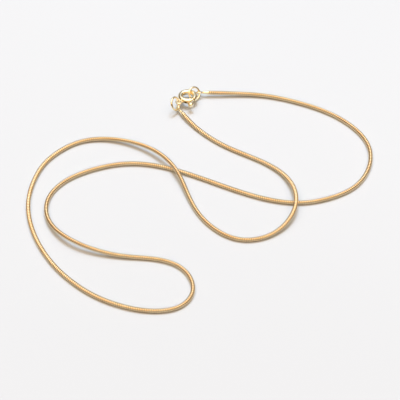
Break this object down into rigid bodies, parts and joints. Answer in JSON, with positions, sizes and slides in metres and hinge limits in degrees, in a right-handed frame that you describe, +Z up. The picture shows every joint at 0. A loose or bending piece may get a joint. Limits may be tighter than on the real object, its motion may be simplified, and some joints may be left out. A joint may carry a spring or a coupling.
{
  "type": "snake chain necklace",
  "caption": "Fine round snake chain necklace lying closed in loose crossing curves, with tapered end caps, jump rings and a spring ring clasp.",
  "frame": {"origin": "middle of the necklace's outline, on the surface it lies on", "axes": "+Z up from the surface, +X to the right across the laid necklace's longest extent, +Y towards the clasp"},
  "size_m": [0.0906, 0.0805, 0.0046],
  "materials": {
    "chain_gold": "polished plated links",
    "fitting_gold": "polished plating"
  },
  "bodies": {
    "necklace": {"chain": "chain_gold", "end_cap_left": "fitting_gold", "end_cap_right": "fitting_gold", "jump_ring_left": "fitting_gold", "jump_ring_right": "fitting_gold", "clasp_ring": "fitting_gold"},
    "bolt": {"clasp_bolt": "fitting_gold"}
  },
  "joints": [
    {"name": "bolt_swing", "type": "hinge", "parent": "necklace", "child": "bolt", "pos_m": [-0.0037, 0.0371, 0.002], "axis": [0, -0.0523, -0.9986], "range_deg": [0, 26], "stiffness_Nm_per_rad": 0.0015}
  ]
}
